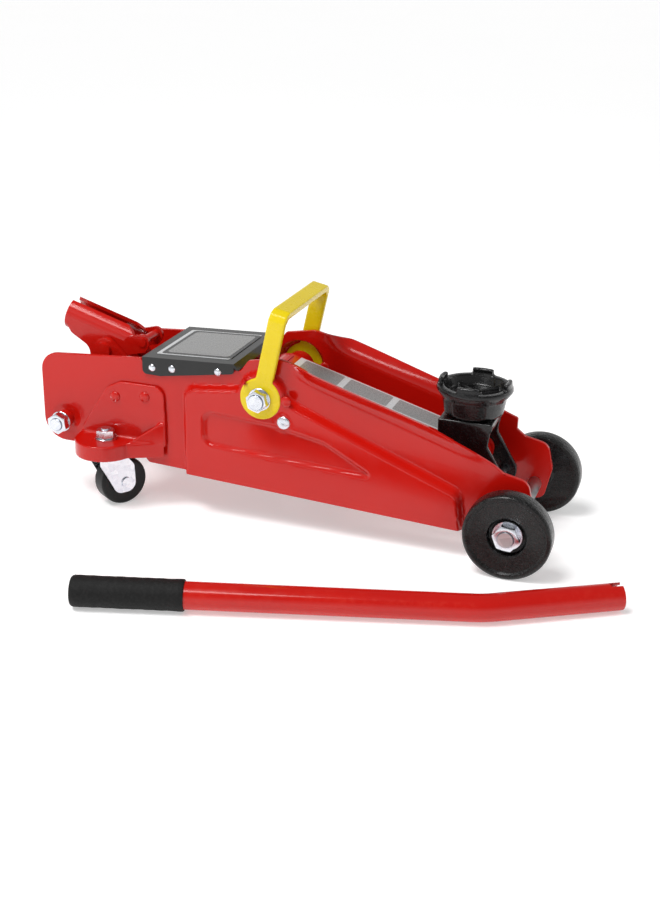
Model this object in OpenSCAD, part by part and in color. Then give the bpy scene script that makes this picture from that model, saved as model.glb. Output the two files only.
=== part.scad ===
// Compact hydraulic trolley jack with its loose pump handle lying beside it.
// Millimetres. +X points to the saddle end, +Y to the jack's left, +Z up; the floor is Z = 0.
// Jack coordinates have X = 0 halfway along the jack, Y = 0 on its middle plane.
// The module on_jack() moves them so that the origin lies under the middle of everything.

/* [Frame] */
// Length from the rear edge of the side plates to the front of the front wheels
overall_length = 450; // [440:5:470]
// Thickness of the pressed side plates
plate_t = 3.5; // [3:0.5:4]
// Half of the clear width between the side plates
inner_half = 41; // [41:0.5:42]
// How far the middle field of each plate is pressed outwards
press_out = 3.5; // [3:0.5:4]

/* [Front wheels] */
// Diameter of a front wheel
wheel_d = 70; // [66:1:72]
// Width of a front wheel
wheel_w = 17; // [15:1:18]
// Distance over the outer faces of the two front wheels
track = 150; // [148:1:156]
// Diameter of the front axle
axle_d = 12; // [10:1:14]

/* [Lift arm] */
// Height of the lift arm's pivot above the floor
pivot_z = 113; // [112:0.5:114]
// Length of the lift arm between its two pins
arm_len = 172.7; // [170:0.1:175]
// Slope of the lowered arm below the horizontal, in degrees
arm_slope = 14.1; // [13:0.1:15]
// Half of the arm's width
arm_half = 16; // [15:0.5:16]

/* [Saddle] */
// Diameter of the saddle at its rim
saddle_d = 62; // [56:1:64]
// Height of the lowered saddle's rim above the floor
saddle_z = 130; // [127:0.5:132]

/* [Casters] */
// Diameter of a caster wheel
caster_d = 42; // [40:1:42]
// Width of a caster wheel
caster_w = 17; // [14:1:17]
// Distance of the caster wheel's centre behind its swivel axis
caster_trail = 12; // [10:0.5:12]
// Direction in which both casters trail, in degrees from +X
caster_turn = 55; // [0:5:355]

/* [Carry handle] */
// Distance from the carry handle's pivot to its grip
carry_len = 70; // [68:1:74]
// Forward lean of the upright carry handle, in degrees
carry_lean = 12; // [8:1:12]

/* [Pump handle] */
// Diameter of the pump handle's tube
tube_d = 21; // [19:0.5:22]
// Length of the tube's straight part with the grip
tube_straight = 294; // [285:1:300]
// Length of the tube beyond its bend
tube_tip = 98; // [90:1:105]
// Bend of the tube, in degrees
tube_bend = 15; // [10:1:18]

/* [Hidden] */
$fn = 64;

// radial clearance of a shaft that turns in a bore, and the gap between parts that pass each other
run = 0.06;
gap = 0.3;

rear_x = -overall_length / 2;
axle_x = overall_length / 2 - wheel_d / 2;
axle_z = wheel_d / 2;
axle_r = axle_d / 2;
wheel_out = track / 2;
wheel_in = wheel_out - wheel_w;

// the two levels of a pressed side plate
base_out = inner_half + plate_t;
field_out = base_out + press_out;

// lift arm, its level link and the push pin that the ram drives
pivot = [-20.5, pivot_z];
pivot_r = 8;
hub_r = 18;
arm_end_r = 12;
arm_wall = 4;
pin_r = 6;
arm_dir = [cos(arm_slope), -sin(arm_slope)];
head_pin = pivot + arm_len * arm_dir;
link_offset = [20, -18];
anchor = pivot + link_offset;
foot_pin = head_pin + link_offset;
lift_swing = 70;
push_arm = 38;
push_pin_r = 8;
push_pin = pivot + push_arm * [-sin(lift_swing / 2), -cos(lift_swing / 2)];

// saddle bracket and level links, as distances from the middle plane
cheek_in = arm_half + 1;
cheek_out = cheek_in + 4.5;
bracket_top = saddle_z - 25;
link_in = cheek_out + 0.5;
link_out = link_in + 4.5;
saddle_x = 143;
post_r = 10;

// hydraulic unit
ram_z = 79;
ram_r = 10;
piston_r = 15;
block_x = [-158, -118];
block_z = [50, 105];
cylinder_x = [-126, -64];
reservoir_r = 26;
gland_x = [-62, -54];
ram_front = push_pin[0] - push_pin_r - 0.9;
piston_x = [-125, -113];
seal_x = [-120.8, -118.2];
seal_r = 13;
barrel_x = [-154, -131];
barrel_r = 8;
plunger_r = 5;
plunger_end = -134.5;
valve_end = -137;

// pump handle socket, its pivot and the pin that drives the plunger
socket_pivot = [-177, 126];
socket_tilt = 17;
socket_swing = 35;
drive_arm = 30;
drive_pin = socket_pivot + drive_arm * [sin(socket_swing / 2), -cos(socket_swing / 2)];
drive_r = 4;
pump_z = socket_pivot[1] - drive_arm + 0.7;
trough_in = 11.55;
trough_out = 14.5;
trough_axis = 11;
trough_seam = 12;
trough_slot = 6;
ear_in = trough_out + 0.7;
ear_out = ear_in + 6;
valve_z = 76;

// rear end and casters
tie_rod = [-204, 68];
king = [-159.5, 57];
king_r = 4;
shelf_z = [57, 60];
skirt_z = 46.5;
fork_z = [44, 46];
caster_r = caster_d / 2;
caster_edge_r = 3;
fork_in = caster_w / 2 + 0.8;
fork_t = 2;

// places of the small fasteners in the side plates
upper_rivet = anchor + [2, 18.3];
block_bolts = [[-154, 95.5], [-126.5, 98.5]];
cover_screw_at = [[-119, 125], [-101, 126], [-60, 128.5]];

// carry handle, as distances from the middle plane
carry_in = field_out + 0.4;
carry_t = 5;
carry_out = carry_in + carry_t;
stub_r = 6;

// cover
cover_x = [-128, -46];
cover_z = [133.5, 137];
sheet = 2;

// pump handle on the floor, in jack coordinates
tube_r = tube_d / 2;
grip_r = tube_r + 1.5;
grip_len = 84;
grip_edge = 1.5;
handle_start = [-99, -229];
handle_turn = 16.4;
bend_r = 60;

// the handle rests on the grip's front edge and on the end of its tip
tip_x = tube_straight + bend_r * sin(tube_bend) + tube_tip * cos(tube_bend);
handle_tilt = atan((grip_r - tube_r) / (tip_x - grip_len));
handle_z = grip_r * cos(handle_tilt) + grip_len * sin(handle_tilt);

// where the bend and the tip end, seen from above
bend_end = handle_start + tube_straight * heading(handle_turn)
    + 2 * bend_r * sin(tube_bend / 2) * heading(handle_turn + tube_bend / 2);
tip_end = bend_end + tube_tip * heading(handle_turn + tube_bend);

// shift that puts the origin under the middle of the jack and its handle
front_reach = tip_end[0] + tube_r * sin(handle_turn + tube_bend);
right_reach = handle_start[1] + grip_edge * sin(handle_turn) - grip_r * cos(handle_turn);
left_reach = king[1] + (caster_trail + caster_r - caster_edge_r) * sin(caster_turn)
    + (caster_w / 2 - caster_edge_r) * cos(caster_turn) + caster_edge_r;
jack_x = -(rear_x + front_reach) / 2;
jack_y = -(right_reach + left_reach) / 2;

// ---------------------------------------------------------------- outlines

function heading(a) = [cos(a), sin(a)];
function wrap(a) = a > 180 ? a - 360 : a <= -180 ? a + 360 : a;

// points on an arc about c, from one angle to another
function arc(c, r, from, to, steps = 12) =
    [for (i = [0:steps]) c + r * heading(from + (to - from) * i / steps)];

// outline of a bar with a round end about a and a smaller or equal one about b
function capsule(a, ra, b, rb, steps = 14) =
    let (t = atan2(b[1] - a[1], b[0] - a[0]), g = acos((ra - rb) / norm(b - a)))
    concat(arc(a, ra, t + g, t + 360 - g, steps), arc(b, rb, t - g, t + g, steps));

// one corner at b, between a and c, rounded to radius r
function corner(a, b, c, r, steps = 6) =
    r == 0 ? [b] :
    let (
        u = (a - b) / norm(a - b),
        v = (c - b) / norm(c - b),
        half = acos(u * v) / 2,
        reach = r / tan(half),
        centre = b + (u + v) / norm(u + v) * r / sin(half),
        first = b + u * reach - centre,
        last = b + v * reach - centre,
        from = atan2(first[1], first[0])
    )
    arc(centre, r, from, from + wrap(atan2(last[1], last[0]) - from), steps);

// polygon from [x, y, corner radius] rows
function rounded(rows) =
    let (n = len(rows), p = [for (q = rows) [q[0], q[1]]])
    [for (i = [0:n - 1]) each corner(p[(i + n - 1) % n], p[i], p[(i + 1) % n], rows[i][2])];

// ---------------------------------------------------------------- solids

module on_jack() translate([jack_x, jack_y, 0]) children();

// draws the left-hand part as it is, or its mirror image on the right
module on_side(side) mirror([0, side < 0 ? 1 : 0, 0]) children();

module both_sides() {
    children();
    mirror([0, 1, 0]) children();
}

// round bar along X or Y between two coordinates
module bar_x(r, x0, x1, yz = [0, 0]) translate([x0, yz[0], yz[1]])
    rotate([0, 90, 0]) cylinder(r = r, h = x1 - x0);
module bar_y(r, y0, y1, xz) translate([xz[0], y0, xz[1]])
    rotate([-90, 0, 0]) cylinder(r = r, h = y1 - y0);

// flat shape drawn in X and Z, with its thickness along Y
module slab_y(y0, y1) translate([0, y1, 0]) rotate([90, 0, 0]) linear_extrude(y1 - y0) children();

// six-sided nut along Y, with its flats af apart
module nut_y(af, y0, y1, xz) translate([xz[0], y0, xz[1]])
    rotate([-90, 0, 0]) cylinder(r = af / sqrt(3), h = y1 - y0, $fn = 6);

// coil spring along X from x0 to x1
module coil_x(x0, x1, yz, coil_r, wire_r, turns, per_turn = 10, sides = 6) {
    rings = turns * per_turn;
    span = x1 - x0 - 2 * wire_r;
    function centre(i) = [x0 + wire_r + span * i / rings, yz[0], yz[1]];
    function out(i) = [0, cos(360 * i / per_turn), sin(360 * i / per_turn)];
    points = [for (i = [0:rings]) for (t = [0:360 / sides:359])
        centre(i) + (coil_r + wire_r * cos(t)) * out(i) + wire_r * sin(t) * [1, 0, 0]];
    function at_ring(i, k) = i * sides + k % sides;
    skin = [for (i = [0:rings - 1]) for (k = [0:sides - 1])
        [at_ring(i, k), at_ring(i, k + 1), at_ring(i + 1, k + 1), at_ring(i + 1, k)]];
    ends = [[for (k = [sides - 1:-1:0]) k], [for (k = [0:sides - 1]) rings * sides + k]];
    polyhedron(points, concat(skin, ends), convexity = 10);
}

// ---------------------------------------------------------------- frame

plate_outline = rounded([
    [rear_x, 125, 16], [-130, 131.5, 1.5], [-129, 129, 1], [-41, 131.5, 2], [-34, 141, 3],
    [-8, 145.5, 12], [22, 138.5, 14], [172, 90.5, 2], [172, 81, 2], [179, 75.5, 4],
    [199, 71, 10], [204, 50, 12], [198, 21.4, 8], [-126, 38.6, 3], [-133, 47, 4], [rear_x, 47.5, 20]
]);

// lip along the sloping top edge, turned outwards
lip_out = 8;
lip_outline = [[16, 137], [24, 137.8], [120, 107.7], [132, 101], [132, 98], [120, 104], [24, 134.2], [16, 134]];

// outline of the pressed-out field, drawn in by d on every side
function field_outline(d) = rounded([
    [-90 + d, 10, 0], [-90 + d, 112.5 - d, 8], [-38, 118.5 - d, 6],
    [-3, 117 - d, 6], [8, 109.5 - d, 10], [86, 78.5 - d, 40], [146 - d, 55, 10], [152 - d, 10, 0]
]);
panel_outline = rounded([[-71, 95, 6], [-71, 66.5, 7], [78, 58, 2], [34, 82, 10], [-10, 91, 10]]);

// what the right-hand plate lacks at its front, where its top edge runs straight down
right_front_cut = [[118, 108.1], [172, 81], [176, 81], [176, 98], [118, 112]];

// side plate: a flat rear and rim, and a middle field pressed outwards with a sunk panel
module side_plate(side) color("red") on_side(side) difference() {
    union() {
        difference() {
            slab_y(inner_half, base_out) polygon(plate_outline);
            slab_y(inner_half - 1, base_out + 1) intersection() {
                polygon(field_outline(3));
                polygon(plate_outline);
            }
        }
        slab_y(base_out, field_out - 1.2) intersection() {
            polygon(field_outline(0));
            polygon(plate_outline);
        }
        slab_y(field_out - 1.2, field_out) intersection() {
            polygon(field_outline(1.2));
            polygon(plate_outline);
        }
        bar_y(19, inner_half, field_out, pivot);
        slab_y(inner_half, base_out + lip_out) polygon(lip_outline);
    }
    if (side < 0) slab_y(inner_half - 1, base_out + lip_out + 1) polygon(right_front_cut);
    slab_y(field_out - 1.5, field_out + 1) polygon(panel_outline);
    bar_y(pivot_r + run, 0, field_out + 1, pivot);
    bar_y(axle_r + run, 0, field_out + 1, [axle_x, axle_z]);
    bar_y(5 + run, 0, field_out + 1, tie_rod);
    bar_y(4 + run, 0, field_out + 1, anchor);
    bar_y(3 + run, 0, field_out + 1, upper_rivet);
    for (p = block_bolts) bar_y(3 + run, 0, field_out + 1, p);
    for (p = cover_screw_at) bar_y(1.5 + run, 0, field_out + 1, p);
}

module front_axle() color("silver") bar_y(axle_r, -wheel_out - 2, wheel_out + 2, [axle_x, axle_z]);

module axle_spacers() color("silver") both_sides() difference() {
    bar_y(axle_r + 3.5, base_out, wheel_in - gap, [axle_x, axle_z]);
    bar_y(axle_r + run, base_out - 1, wheel_in, [axle_x, axle_z]);
}

hub_seat = wheel_out - 8;

module hub_nuts() color("silver") both_sides() difference() {
    union() {
        bar_y(12, hub_seat + gap, hub_seat + gap + 1.6, [axle_x, axle_z]);
        nut_y(18, hub_seat + gap + 1.6, wheel_out + 1, [axle_x, axle_z]);
    }
    bar_y(axle_r + run, hub_seat, wheel_out + 2, [axle_x, axle_z]);
}

module rear_tie_rod() color("silver") bar_y(5, -base_out - 18, base_out + 18, tie_rod);

module tie_rod_collars() color("firebrick") both_sides() difference() {
    bar_y(7.5, base_out, base_out + 8, tie_rod);
    bar_y(5 + run, base_out - 1, base_out + 9, tie_rod);
}

module tie_rod_nuts() color("silver") both_sides() difference() {
    union() {
        bar_y(9, base_out + 8, base_out + 9.5, tie_rod);
        nut_y(16, base_out + 9.5, base_out + 17, tie_rod);
    }
    bar_y(5 + run, base_out, base_out + 18, tie_rod);
}

module arm_pivot_shaft() color("silver") {
    bar_y(pivot_r, -carry_in + gap, carry_in - gap, pivot);
    both_sides() bar_y(stub_r, carry_in - gap, carry_out + 10, pivot);
}

module pivot_nuts() color("silver") both_sides() difference() {
    union() {
        bar_y(9.5, carry_out + gap, carry_out + gap + 1.6, pivot);
        nut_y(16, carry_out + gap + 1.6, carry_out + 9, pivot);
    }
    bar_y(stub_r + run, carry_out, carry_out + 10, pivot);
}

// shouldered studs on which the rear ends of the level links turn
module link_studs() color("silver") both_sides() {
    bar_y(6, link_out + gap, inner_half, anchor);
    bar_y(4, link_in - gap, field_out, anchor);
    bar_y(6, link_in - 2, link_in - gap, anchor);
    bar_y(5.5, field_out, field_out + 1.8, anchor);
}

module plate_rivets() color("firebrick") both_sides() {
    bar_y(3, inner_half, field_out, upper_rivet);
    bar_y(4.5, field_out, field_out + 1.6, upper_rivet);
    bar_y(4.5, inner_half - 1.6, inner_half, upper_rivet);
}

// ---------------------------------------------------------------- casters

bracket_t = 3;
bracket_front = -108;
bracket_back = rounded([
    [-188, shelf_z[0], 0], [-186, 66, 4], [-162, 103, 10], [-150, 109, 6],
    [bracket_front - 1, 109, 10], [bracket_front, shelf_z[0], 0]
]);
shelf_c = [-162, 53];
shelf_r = 26;
flank_start = shelf_c + shelf_r * heading(20);
flank_end = [bracket_front, base_out + 3];
skirt_t = 2.5;

// outline of the bracket's shelf seen from above, drawn in by d at its front
function shelf_outline(d) = concat(
    [[flank_end[0] - 3 * d, base_out], flank_end - [3 * d, d / 2]],
    arc(shelf_c, shelf_r - d, 20, 180, 20),
    [[shelf_c[0] - shelf_r + d, base_out]]
);

// left caster bracket: back plate, shelf, the shelf's turned-down rim, and a flank that rises to the plate
module caster_bracket() color("red") difference() {
    union() {
        slab_y(base_out, base_out + bracket_t) polygon(bracket_back);
        translate([0, 0, shelf_z[0]]) linear_extrude(shelf_z[1] - shelf_z[0]) polygon(shelf_outline(0));
        translate([0, 0, skirt_z]) linear_extrude(shelf_z[0] - skirt_z) difference() {
            polygon(shelf_outline(0));
            polygon(shelf_outline(skirt_t));
            translate([-200, 0]) square([120, base_out + bracket_t]);
        }
        intersection() {
            slab_y(base_out, base_out + 50) polygon([
                [flank_start[0], shelf_z[1] - 1], [flank_end[0] - 1, shelf_z[1] - 1],
                [flank_end[0] - 1, shelf_z[1] + 17], [flank_end[0] - 5, shelf_z[1] + 17],
                [flank_start[0], shelf_z[1]]
            ]);
            translate([0, 0, shelf_z[1] - 5]) linear_extrude(30) polygon([
                flank_start - [2, 0.4], flank_end - [-2, 0.4], flank_end - [-2, 3.4], flank_start - [2, 3.4]
            ]);
        }
    }
    translate([king[0], king[1], 0]) cylinder(r = king_r + run, h = 100);
    for (p = block_bolts) bar_y(3 + run, 0, base_out + bracket_t + 1, p);
}

module caster_king_bolts() color("silver") both_sides() translate([king[0], king[1], 0]) {
    translate([0, 0, fork_z[0] - 2.1]) cylinder(r = 6, h = 2.1);
    translate([0, 0, fork_z[0]]) cylinder(r = king_r, h = shelf_z[1] + 10 - fork_z[0]);
}

// hexagon nut above the shelf and the swivel race below it
module caster_king_nuts() color("silver") both_sides() translate([king[0], king[1], 0]) difference() {
    union() {
        translate([0, 0, fork_z[1] + gap]) cylinder(r = 11, h = 4);
        translate([0, 0, fork_z[1] + gap + 4]) cylinder(r = 8.5, h = shelf_z[0] - fork_z[1] - gap - 4);
        translate([0, 0, shelf_z[1]]) cylinder(r = 9, h = 1.6);
        translate([0, 0, shelf_z[1] + 1.6]) cylinder(r = 14 / sqrt(3), h = 7, $fn = 6);
    }
    cylinder(r = king_r + run, h = 100);
}

// moves a caster part from its own axes to its place: +X trails, the swivel axis is Z
module at_caster(side) translate([king[0], side * king[1], 0]) rotate([0, 0, caster_turn]) children();

caster_hub = [caster_trail, caster_r];
fork_leg = rounded([
    [-11, fork_z[1], 0], [-11, fork_z[0] - 4, 3], [caster_hub[0] - 9, caster_hub[1] - 9, 8],
    [caster_hub[0] + 9, caster_hub[1] - 9, 8], [caster_hub[0] + 8, fork_z[0] - 8, 6], [12, fork_z[1], 0]
]);
fork_top = rounded([
    [-11, -fork_in - fork_t, 3], [12, -fork_in - fork_t, 3],
    [12, fork_in + fork_t, 3], [-11, fork_in + fork_t, 3]
]);

module caster_fork(side) color("gainsboro") at_caster(side) difference() {
    union() {
        translate([0, 0, fork_z[0]]) linear_extrude(fork_z[1] - fork_z[0]) polygon(fork_top);
        both_sides() slab_y(fork_in, fork_in + fork_t) polygon(fork_leg);
    }
    cylinder(r = king_r + run, h = 100);
    bar_y(3 + run, -20, 20, caster_hub);
}

module caster_axle(side) color("silver") at_caster(side) {
    bar_y(3, -fork_in - fork_t, fork_in + fork_t, caster_hub);
    both_sides() bar_y(4.5, fork_in + fork_t, fork_in + fork_t + 1.5, caster_hub);
}

caster_half = caster_w / 2;
caster_section = rounded([
    [0, -caster_half - 0.5, 0], [6, -caster_half - 0.5, 0], [7, -caster_half + 1, 0],
    [caster_r - 5, -caster_half, 0], [caster_r, -caster_half, caster_edge_r],
    [caster_r, caster_half, caster_edge_r], [caster_r - 5, caster_half, 0],
    [7, caster_half - 1, 0], [6, caster_half + 0.5, 0], [0, caster_half + 0.5, 0]
]);

module caster_wheel(side) color([0.12, 0.12, 0.13]) at_caster(side) difference() {
    translate([caster_hub[0], 0, caster_hub[1]]) rotate([90, 0, 0]) rotate_extrude() polygon(caster_section);
    bar_y(3 + run, -20, 20, caster_hub);
}

// ---------------------------------------------------------------- hydraulic unit

// cast block with two ears that carry the handle socket
module power_unit_block() color("darkred") difference() {
    union() {
        translate([block_x[0], -inner_half, block_z[0]])
            cube([block_x[1] - block_x[0], 2 * inner_half, block_z[1] - block_z[0]]);
        both_sides() slab_y(ear_in, ear_out) polygon(capsule([-147, 94], 11, socket_pivot, 10));
    }
    bar_x(19 + run, cylinder_x[0], block_x[1] + 1, [0, ram_z]);
    bar_x(barrel_r + run, block_x[0] - 1, barrel_x[1], [0, pump_z]);
    translate([block_x[0] - 1, -13, pump_z - 11]) cube([5, 26, 30]);
    bar_x(4 + run, block_x[0] - 1, valve_end + 1, [0, valve_z]);
    both_sides() bar_y(5 + run, 0, ear_out + 1, socket_pivot);
    for (p = block_bolts) both_sides() bar_y(3 + run, inner_half - 16, inner_half + 1, p);
}

module power_unit_bolts() color("firebrick") both_sides() for (p = block_bolts) {
    bar_y(3, inner_half - 15, base_out + 3, p);
    bar_y(4.5, base_out + 3, base_out + 5, p);
}

module ram_cylinder() color("silver") difference() {
    bar_x(19, cylinder_x[0], gland_x[0], [0, ram_z]);
    bar_x(piston_r + 0.1, cylinder_x[0] + 0.5, gland_x[0] + 1, [0, ram_z]);
}

module reservoir_shell() color("darkred") difference() {
    bar_x(reservoir_r, block_x[1], gland_x[0], [0, ram_z]);
    bar_x(reservoir_r - 2, block_x[1] - 1, gland_x[0] + 1, [0, ram_z]);
    translate([-90, 0, ram_z]) cylinder(r = 4 + run, h = reservoir_r + 1);
}

module cylinder_gland() color("gray") difference() {
    union() {
        bar_x(reservoir_r, gland_x[0], gland_x[0] + 5, [0, ram_z]);
        bar_x(17, gland_x[0] + 5, gland_x[1], [0, ram_z]);
    }
    bar_x(ram_r + run, gland_x[0] - 1, gland_x[1] + 1, [0, ram_z]);
}

module ram_return_spring() color("gray") coil_x(cylinder_x[0] + 0.8, -60, [0, ram_z], 4.6, 0.9, 15);

module pump_barrel() color("silver") difference() {
    bar_x(barrel_r, barrel_x[0], barrel_x[1], [0, pump_z]);
    bar_x(plunger_r + run, barrel_x[0] - 1, barrel_x[1] - 2, [0, pump_z]);
}

module pump_gland_nut() color("silver") difference() {
    translate([block_x[0], 0, pump_z]) rotate([0, 90, 0])
        cylinder(r = 19 / sqrt(3), h = barrel_x[0] - block_x[0], $fn = 6);
    bar_x(plunger_r + run, block_x[0] - 1, barrel_x[0] + 1, [0, pump_z]);
}

module filler_plug() color([0.1, 0.1, 0.1]) translate([-90, 0, ram_z]) {
    translate([0, 0, reservoir_r - 3]) cylinder(r = 4, h = 3.5);
    translate([0, 0, reservoir_r + 0.5]) cylinder(r = 6.5, h = 3);
}

module socket_pivot_bolts() color("firebrick") both_sides() {
    bar_y(5, trough_in, ear_out, socket_pivot);
    bar_y(7, ear_out, ear_out + 4, socket_pivot);
}

module release_valve() color("silver") {
    bar_x(4, block_x[0] - 1, valve_end, [0, valve_z]);
    bar_x(6, -182, block_x[0] - 1, [0, valve_z]);
    bar_y(2, -9, 9, [-178, valve_z]);
}

module ram() color("silver") difference() {
    union() {
        bar_x(ram_r, piston_x[1], ram_front, [0, ram_z]);
        bar_x(piston_r, piston_x[0], piston_x[1], [0, ram_z]);
    }
    bar_x(6.5, piston_x[0] - 1, -58, [0, ram_z]);
    difference() {
        bar_x(piston_r + 1, seal_x[0] - 0.2, seal_x[1] + 0.2, [0, ram_z]);
        bar_x(seal_r, seal_x[0] - 1, seal_x[1] + 1, [0, ram_z]);
    }
}

module piston_seal() color([0.1, 0.1, 0.1]) difference() {
    bar_x(piston_r, seal_x[0], seal_x[1], [0, ram_z]);
    bar_x(seal_r + 0.05, seal_x[0] - 1, seal_x[1] + 1, [0, ram_z]);
}

// ---------------------------------------------------------------- cover

function cover_top(x) = cover_z[0] + (x - cover_x[0]) / (cover_x[1] - cover_x[0]) * (cover_z[1] - cover_z[0]);
cover_side = rounded([
    [cover_x[0], cover_z[0], 0], [cover_x[0], 119, 4], [-112, 118.5, 3],
    [cover_x[1], 128.5, 3], [cover_x[1], cover_z[1], 0]
]);
cover_profile = [
    [cover_x[0], cover_z[0]], [cover_x[1], cover_z[1]], [cover_x[1] + 4, cover_z[1] - 5],
    [cover_x[1] + 2, cover_z[1] - 5], [cover_x[1] - 1, cover_z[1] - sheet], [cover_x[0], cover_z[0] - sheet]
];

module top_cover() color([0.1, 0.1, 0.1]) {
    slab_y(-base_out - sheet, base_out + sheet) polygon(cover_profile);
    both_sides() difference() {
        slab_y(base_out, base_out + sheet) polygon(cover_side);
        for (p = cover_screw_at) bar_y(1.5 + run, base_out - 1, base_out + sheet + 1, p);
    }
}

// turns a thin plate drawn from [0, 0] so that it lies on the sloping cover
module cover_label() color("silver") translate([-120, -36, cover_top(-120) + 0.05])
    rotate([0, -atan2(cover_z[1] - cover_z[0], cover_x[1] - cover_x[0]), 0])
    linear_extrude(0.4) polygon(rounded([[0, 0, 2], [66, 0, 2], [66, 72, 2], [0, 72, 2]]));

module cover_screws() color("silver") both_sides() for (p = cover_screw_at) {
    bar_y(1.5, inner_half, base_out + sheet, p);
    bar_y(3, base_out + sheet, base_out + sheet + 1.5, p);
}

// ---------------------------------------------------------------- lift arm

// a point at distances along and above the arm's centre line
function on_arm(along, above) = pivot + along * arm_dir + above * [-arm_dir[1], arm_dir[0]];
arm_taper = asin((hub_r - arm_end_r) / arm_len);
top_dir = [-arm_dir[1], arm_dir[0]] * cos(arm_taper) + arm_dir * sin(arm_taper);
top_start = pivot + hub_r * top_dir;
top_end = head_pin + arm_end_r * top_dir;

module lift_arm() color("red") difference() {
    union() {
        both_sides() slab_y(arm_half - arm_wall, arm_half) {
            polygon(capsule(pivot, hub_r, head_pin, arm_end_r));
            polygon(capsule(pivot, hub_r, push_pin, push_pin_r + 3));
        }
        slab_y(-arm_half, arm_half) polygon([
            top_start, top_end, top_end - arm_wall * top_dir, top_start - arm_wall * top_dir
        ]);
        slab_y(-arm_half, arm_half) polygon(concat(
            arc(pivot, hub_r, 90 - arm_slope, 190), arc(pivot, hub_r - arm_wall, 190, 90 - arm_slope)));
        bar_y(hub_r - 5, -inner_half + gap, inner_half - gap, pivot);
        bar_y(pin_r + 4, -arm_half, arm_half, head_pin);
    }
    bar_y(pivot_r + run, -inner_half - 1, inner_half + 1, pivot);
    bar_y(pin_r + run, -arm_half - 1, arm_half + 1, head_pin);
    both_sides() bar_y(push_pin_r, arm_half - arm_wall - 1, arm_half + 1, push_pin);
}

module push_pin() color("silver") bar_y(push_pin_r - 0.02, -arm_half, arm_half, push_pin);

// strip on top of the arm
label_start = top_start + 6 * arm_dir;
label_end = label_start + 138 * [top_dir[1], -top_dir[0]];
label_t = 0.4;
module arm_label() color("silver") slab_y(-13.5, 13.5)
    polygon([label_start, label_end, label_end + label_t * top_dir, label_start + label_t * top_dir]);

// ---------------------------------------------------------------- saddle and linkage

cheek_outline = rounded([
    [119, bracket_top - 0.1, 2], [119, head_pin[1] - 8, 8], [140, foot_pin[1] + 1, 8],
    [foot_pin[0] - 3, foot_pin[1] - 10, 8], [foot_pin[0] + 11, foot_pin[1] - 10, 9],
    [foot_pin[0] + 11, foot_pin[1] + 4, 5], [160, 86, 8], [163, bracket_top - 0.1, 2]
]);

module saddle_bracket() color([0.1, 0.1, 0.1]) difference() {
    union() {
        both_sides() slab_y(cheek_in, cheek_out) polygon(cheek_outline);
        translate([119, -cheek_out, bracket_top - 6]) cube([44, 2 * cheek_out, 6]);
    }
    translate([saddle_x, 0, bracket_top - 10]) cylinder(r = post_r + run, h = 20);
    bar_y(pin_r, -cheek_out - 1, cheek_out + 1, head_pin);
    bar_y(4.5, -cheek_out - 1, cheek_out + 1, foot_pin);
}

module head_pin() color("silver") bar_y(pin_r - 0.02, -cheek_out, cheek_out, head_pin);

module foot_pin() color("silver") {
    bar_y(4.48, -link_out - gap, link_out + gap, foot_pin);
    both_sides() bar_y(7, link_out + gap, link_out + 2.5, foot_pin);
}

module level_link(side) color("firebrick") on_side(side) difference() {
    slab_y(link_in, link_out) {
        polygon(capsule(anchor, 9, anchor + 14 * arm_dir, 6));
        polygon(capsule(foot_pin, 9, foot_pin - 14 * arm_dir, 6));
        polygon(capsule(anchor, 6, foot_pin, 6));
    }
    bar_y(4 + run, 0, link_out + 1, anchor);
    bar_y(4.48 + run, 0, link_out + 1, foot_pin);
}

saddle_r = saddle_d / 2;
saddle_profile = [
    [0, bracket_top + gap], [saddle_r - 10, bracket_top + gap], [saddle_r - 7, bracket_top + 3],
    [saddle_r - 5, saddle_z - 10], [saddle_r - 2, saddle_z - 6], [saddle_r, saddle_z - 3],
    [saddle_r - 0.7, saddle_z], [saddle_r - 6, saddle_z], [saddle_r - 9, saddle_z - 8], [0, saddle_z - 8]
];
lug_h = 5;
lug_span = 36;

module saddle() color([0.1, 0.1, 0.1]) translate([saddle_x, 0, 0]) {
    difference() {
        union() {
            rotate_extrude() polygon(saddle_profile);
            translate([0, 0, bracket_top - 12]) cylinder(r = post_r, h = 13);
        }
        translate([0, 0, bracket_top - 8.2]) difference() {
            cylinder(r = post_r + 1, h = 1.6);
            cylinder(r = post_r - 2, h = 1.6);
        }
    }
    for (i = [0:3]) rotate([0, 0, 90 * i - lug_span / 2]) rotate_extrude(angle = lug_span)
        polygon([
            [saddle_r - 5.5, saddle_z - 1], [saddle_r - 1, saddle_z - 1],
            [saddle_r - 2, saddle_z + lug_h], [saddle_r - 5.5, saddle_z + lug_h]
        ]);
    for (i = [0:3]) rotate([0, 0, 90 * i + 45]) translate([5, -2, saddle_z - 9]) cube([18, 4, 3.5]);
}

module saddle_ring() color("silver") translate([saddle_x, 0, bracket_top - 8.1]) difference() {
    cylinder(r = post_r + 3, h = 1.4);
    cylinder(r = post_r - 1.8, h = 3, center = true);
}

// ---------------------------------------------------------------- handle socket and pump

// the socket in its own axes: X runs forward along the trough, Z is square to it, the pivot is the origin
module at_socket() translate([socket_pivot[0], 0, socket_pivot[1]]) rotate([0, socket_tilt, 0]) children();
cross_at = [29, 18];

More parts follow.
